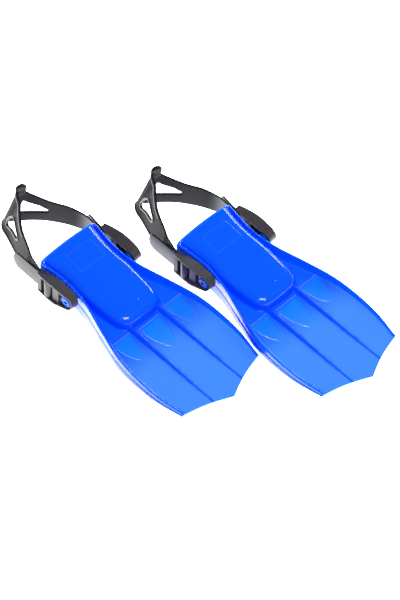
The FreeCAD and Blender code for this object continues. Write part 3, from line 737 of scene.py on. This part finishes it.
def build_tail(fin, name, side):
    """Free end of the strap: a smooth band that rises and bows out towards its rounded end."""
    rear_x = TAIL_REAR_X[side]
    shoulder_x = rear_x + TAIL_END
    round_end = (TAIL_END - 0.1) * np.sin(np.linspace(0, math.pi / 2, 16)[1:])
    xs = np.concatenate([np.linspace(TAIL_FRONT_X + 0.2, shoulder_x, 30), shoulder_x - round_end])
    t = np.clip((shoulder_x - xs) / TAIL_END, 0, 1)
    half = STRAP_HALF * np.maximum(1 - t**3, 0.002)**0.45
    free = np.clip((BUCKLE_REAR_X - xs) / (BUCKLE_REAR_X - rear_x), 0, 1)
    path = np.stack([xs, TAIL_Y - TAIL_BOW[side] * free**1.3, TAIL_RISE * free**1.15], axis=1)
    up = buckle_axes(side)[2]
    path = from_buckle(path, side)
    verts, faces = sweep(path, np.tile(up, (len(path), 1)), half, 1.2, corner=1.0)
    obj = new_object(fin + "_" + name + "_tail_band", verts, faces, fin, MAT["strap_end"])
    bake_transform(obj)
    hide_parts(fin + "_" + name + "_strap_tail")


# Heel strap from its +Y leg round the heel to its -Y leg: lower edge, upper edge.
# As in the CAD, but for the upper edge of the first three rows, where the soft strap sits lower.
STRAP = [((-75.0, 49.0, 8.5), (-73.0, 47.4, 38.0)), ((-89.5, 45.7, 7.0), (-86.0, 44.5, 40.5)),
         ((-108.0, 39.6, 4.8), (-100.5, 37.4, 45.0)), ((-129.0, 27.9, 3.6), (-116.5, 28.4, 46.5)),
         ((-142.0, 17.3, 3.2), (-129.0, 20.8, 50.5)), ((-153.0, 4.2, 4.0), (-138.5, 13.0, 57.0)),
         ((-158.0, -3.0, 4.6), (-142.5, 7.5, 63.0)), ((-162.5, -9.5, 5.4), (-145.3, 1.0, 66.5)),
         ((-165.5, -15.0, 6.0), (-146.0, -4.0, 68.0)), ((-163.0, -19.8, 4.6), (-141.0, -7.3, 65.0)),
         ((-156.5, -24.0, 3.2), (-134.4, -10.5, 61.0)), ((-144.6, -27.5, 3.2), (-126.3, -18.2, 57.0)),
         ((-129.4, -33.0, 4.0), (-112.5, -29.1, 52.0)), ((-115.0, -38.5, 5.0), (-100.0, -35.8, 49.0)),
         ((-100.0, -44.0, 6.2), (-87.6, -41.2, 45.5)), ((-86.0, -48.2, 7.5), (-76.5, -46.4, 41.5)),
         ((-74.0, -49.6, 8.6), (-69.0, -47.8, 38.0))]
LEG_XS = (LOOP_X, -45.0, -56.0)
# Openings: (station, bottom, top), the last two as fractions of the strap's height.
FAR_OPENING = [(4.14, 0.49, 0.51), (4.18, 0.45, 0.56), (4.3, 0.41, 0.60), (5.0, 0.355, 0.69),
               (6.0, 0.31, 0.705), (6.8, 0.285, 0.72), (7.0, 0.30, 0.715), (7.1, 0.35, 0.67),
               (7.14, 0.49, 0.51)]
NEAR_OPENING = [(10.7, 0.36, 0.37), (10.76, 0.32, 0.42), (10.95, 0.27, 0.50), (11.3, 0.26, 0.59),
                (11.6, 0.29, 0.635), (12.2, 0.36, 0.65), (13.0, 0.45, 0.635), (13.3, 0.49, 0.61),
                (13.4, 0.54, 0.56)]
OPENINGS = [FAR_OPENING, NEAR_OPENING]
TAB_STATION = 8.0
NEAR_BRANCH = (8.7, 14.0)                   # stations between which both edges carry a bead
RIDGES = ((0.9, 0.28), (17.1, -0.28))       # each leg's first ridge, and the step to the next


def strap_edges(stations):
    """Lower and upper edges at the given stations; station 0 is the rear end of the +Y leg."""
    edges = []
    for which, level in ((0, -STRAP_HALF), (1, STRAP_HALF)):
        legs = {s: [tuple(p) for p in from_buckle([(px, LEG_Y, level) for px in LEG_XS], s)] for s in (-1, 1)}
        pts = np.array(legs[1] + [row[which] for row in STRAP] + legs[-1][::-1])
        number = np.arange(len(pts)) - (len(LEG_XS) - 1.0)
        edges.append(np.stack([smooth(list(zip(number, pts[:, k])), stations) for k in range(3)], axis=1))
    return edges


def opening_bounds(stations):
    """Bottom and top of the openings, as fractions; equal where the strap is solid."""
    low, high = np.full(len(stations), 0.5), np.full(len(stations), 0.5)
    for table in OPENINGS:
        at = [row[0] for row in table]
        inside = (stations > at[0]) & (stations < at[-1])
        low = np.where(inside, np.interp(stations, at, [row[1] for row in table]), low)
        high = np.where(inside, np.interp(stations, at, [row[2] for row in table]), high)
    return low, high


def outward(lower, upper):
    """Unit normals of the strap's outer face."""
    normal = np.cross(np.gradient(0.5 * (lower + upper), axis=0), upper - lower)
    normal /= np.linalg.norm(normal, axis=1, keepdims=True)
    return normal if normal[0, 1] > 0 else -normal


def build_beads(fin, stations, lower, upper, low_t, high_t):
    """Raised beads on the strap's outer face, and small ridges across its legs."""
    out = outward(lower, upper)
    face = 0.5 * STRAP_THICK
    parts = []
    for table in OPENINGS:
        pick = np.flatnonzero((stations > table[0][0]) & (stations < table[-1][0]))
        loop = np.concatenate([pick, pick[::-1]])
        share = np.concatenate([low_t[pick] - 0.02, high_t[pick][::-1] + 0.02])
        ring = lower[loop] + (upper[loop] - lower[loop]) * share[:, None] + out[loop] * (face - 0.1)
        ring = np.concatenate([ring, ring[:1]])
        parts.append(sweep(ring, out[np.append(loop, loop[0])], 1.25, 1.45, corner=1.15))
    along = np.flatnonzero((stations > NEAR_BRANCH[0]) & (stations < NEAR_BRANCH[1]))[::2]
    for share in (0.04, 0.96):
        edge_and_painted_highlight = lower[along] + (upper[along] - lower[along]) * share + out[along] * (face - 0.1)
        parts.append(sweep(edge_and_painted_highlight, out[along], 1.1, 1.5, corner=1.0))
    for first, pitch in RIDGES:
        for k in range(6):
            at = int(np.argmin(np.abs(stations - first - pitch * k)))
            reach = np.linspace(0.2, 0.93, 8)[:, None]
            ridge = lower[at] + (upper[at] - lower[at]) * reach + out[at] * face
            parts.append(sweep(ridge, np.tile(out[at], (8, 1)), 0.7, 0.7, corner=0.6))
    verts, faces = join(parts)
    return new_object(fin + "_strap_beads", verts, faces, fin, MAT["strap"],
                      fields={"polish": np.full(len(verts), 0.4)})


def build_heel_strap(fin):
    """Heel strap: one surface with two side openings, thickened, with raised beads and a pull tab."""
    last = len(STRAP) + len(LEG_XS)
    stations = np.linspace(1.0 - len(LEG_XS), last, 481)
    lower, upper = strap_edges(stations)
    low_t, high_t = opening_bounds(stations)
    count, rows = len(stations), 9
    fractions = np.linspace(0, 1, rows)
    grid = np.zeros((count, 2 * rows, 3))
    for k, f in enumerate(fractions):
        grid[:, k] = lower + (upper - lower) * (low_t * f)[:, None]
        grid[:, rows + k] = lower + (upper - lower) * (high_t + (1 - high_t) * f)[:, None]
    quads = grid_faces(count, 2 * rows).reshape(count - 1, 2 * rows - 1, 4)
    faces = np.concatenate([quads[:, :rows - 1].reshape(-1, 4), quads[:, rows:].reshape(-1, 4)])
    # The legs shine more than the strap behind the heel.
    ends = np.minimum(stations - stations[0], stations[-1] - stations)
    polish = np.repeat(0.06 + 0.24 * step(4.6, 2.6, ends), 2 * rows)
    obj = new_object(fin + "_strap_band", grid.reshape(-1, 3), faces, fin, MAT["strap"],
                     fields={"polish": polish})
    mesh = bmesh.new()
    mesh.from_mesh(obj.data)
    bmesh.ops.remove_doubles(mesh, verts=mesh.verts, dist=0.03 * MM)
    mesh.to_mesh(obj.data)
    mesh.free()
    solid = obj.modifiers.new("thickness", "SOLIDIFY")
    solid.thickness, solid.offset = STRAP_THICK * MM, 0.0
    soften(obj, 0.8, 3, 50)
    bake_modifiers(obj)
    beads = build_beads(fin, stations, lower, upper, low_t, high_t)
    tab = build_tab(fin)
    bpy.ops.object.select_all(action="DESELECT")
    for item in (beads, tab, obj):
        item.select_set(True)
    bpy.context.view_layer.objects.active = obj
    bpy.ops.object.join()
    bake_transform(obj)
    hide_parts(fin + "_heel_strap")


def build_tab(fin):
    """Rounded pull tab standing on the rear bridge."""
    foot = strap_edges(np.array([TAB_STATION]))[1][0]
    across = np.array([0.42, 0.9, 0.0])
    up = np.array([0.1, 0.06, 1.0])
    root, straight = 5.0, 6.5
    round_end = 6.3 * np.sin(np.linspace(0, math.pi / 2, 10)[1:])
    lengths = np.concatenate([np.linspace(-root, straight, 12), straight + round_end])
    t = np.clip((lengths - straight) / 6.4, 0, 1)
    waist = 1 - 0.05 * np.sin(np.pi * np.clip((lengths + root) / (straight + root), 0, 1))
    half = 7.3 * np.sqrt(np.maximum(1 - t**2, 0.004)) * waist
    thick = 1.3 + 0.9 * step(2, 12, lengths)
    path = [foot + up * length for length in lengths]
    verts, faces = sweep(path, np.tile(across, (len(path), 1)), half, thick, corner=1.2)
    return new_object(fin + "_strap_tab", verts, faces, fin, MAT["strap"],
                      fields={"polish": np.full(len(verts), 0.1)})


for fin in FINS:
    build_moulding(fin)
    build_rim(fin)
    build_footbed(fin)
    build_heel_strap(fin)
    for name, side in SIDES[fin].items():
        build_stud(fin, name, side)
        show_buckle(fin, name)
        build_loop(fin, name, side)
        build_tail(fin, name, side)

# ------------------------------------------------------------------ floor, light and camera

bpy.ops.mesh.primitive_plane_add(size=12.0, location=(0, 0, -0.0005))
floor = bpy.context.object
floor.name = "floor"
paper = Nodes("paper")
paper.set(Roughness=0.9, Base_Color=(0.9, 0.9, 0.9, 1.0),
          Emission_Color=(1.0, 1.0, 1.0, 1.0), Emission_Strength=3.6)
floor.data.materials.append(paper.material)

world = bpy.data.worlds.new("studio")
bpy.context.scene.world = world
world.use_nodes = True
world.node_tree.nodes["Background"].inputs["Color"].default_value = (1, 1, 1, 1)
world.node_tree.nodes["Background"].inputs["Strength"].default_value = 0.12


def area_light(name, position, target, height, power, width=0.0):
    """Soft box facing a target: square, or of another width."""
    data = bpy.data.lights.new(name, "AREA")
    data.shape, data.size, data.size_y, data.energy = "RECTANGLE", width or height, height, power
    light = bpy.data.objects.new(name, data)
    light.location = position
    light.rotation_euler = (Vector(target) - Vector(position)).to_track_quat("-Z", "Y").to_euler()
    bpy.context.scene.collection.objects.link(light)
    return light


# The key light stays out of reflections, so that only the window, lamp and strip leave highlights.
key = area_light("key", (0.6, 0.4, 2.4), (0.0, 0.0, 0.0), 1.6, 24.0)
key.visible_glossy = False
area_light("window", (1.05, -0.5, 2.3), (0.0, 0.0, 0.0), 1.0, 44.0)
area_light("lamp", (0.5, -1.7, 1.8), (0.0, 0.0, 0.0), 0.16, 5.0)
area_light("strip", (-0.68, 1.28, 0.68), (0.0, 0.0, 0.03), 0.5, 16.0, 0.9)

AZIMUTH, ELEVATION, DISTANCE = math.radians(45.1), math.radians(53.3), 3.0
back = Vector((math.sin(AZIMUTH) * math.cos(ELEVATION),
               -math.cos(AZIMUTH) * math.cos(ELEVATION),
               math.sin(ELEVATION)))
aim = Vector((ORIGIN["right"] + np.array([CORNER_X, 0.0, 0.0])) * MM)
camera_data = bpy.data.cameras.new("camera")
camera_data.lens = 150.0
# The aim lies right of the picture's centre and below it, by these shares of its height.
camera_data.shift_x, camera_data.shift_y = -0.0343333, 0.1425
camera = bpy.data.objects.new("camera", camera_data)
camera.location = aim + back * DISTANCE
camera.rotation_euler = back.to_track_quat("Z", "Y").to_euler()
bpy.context.scene.collection.objects.link(camera)
bpy.context.scene.camera = camera

bpy.context.scene.view_settings.view_transform = "Standard"
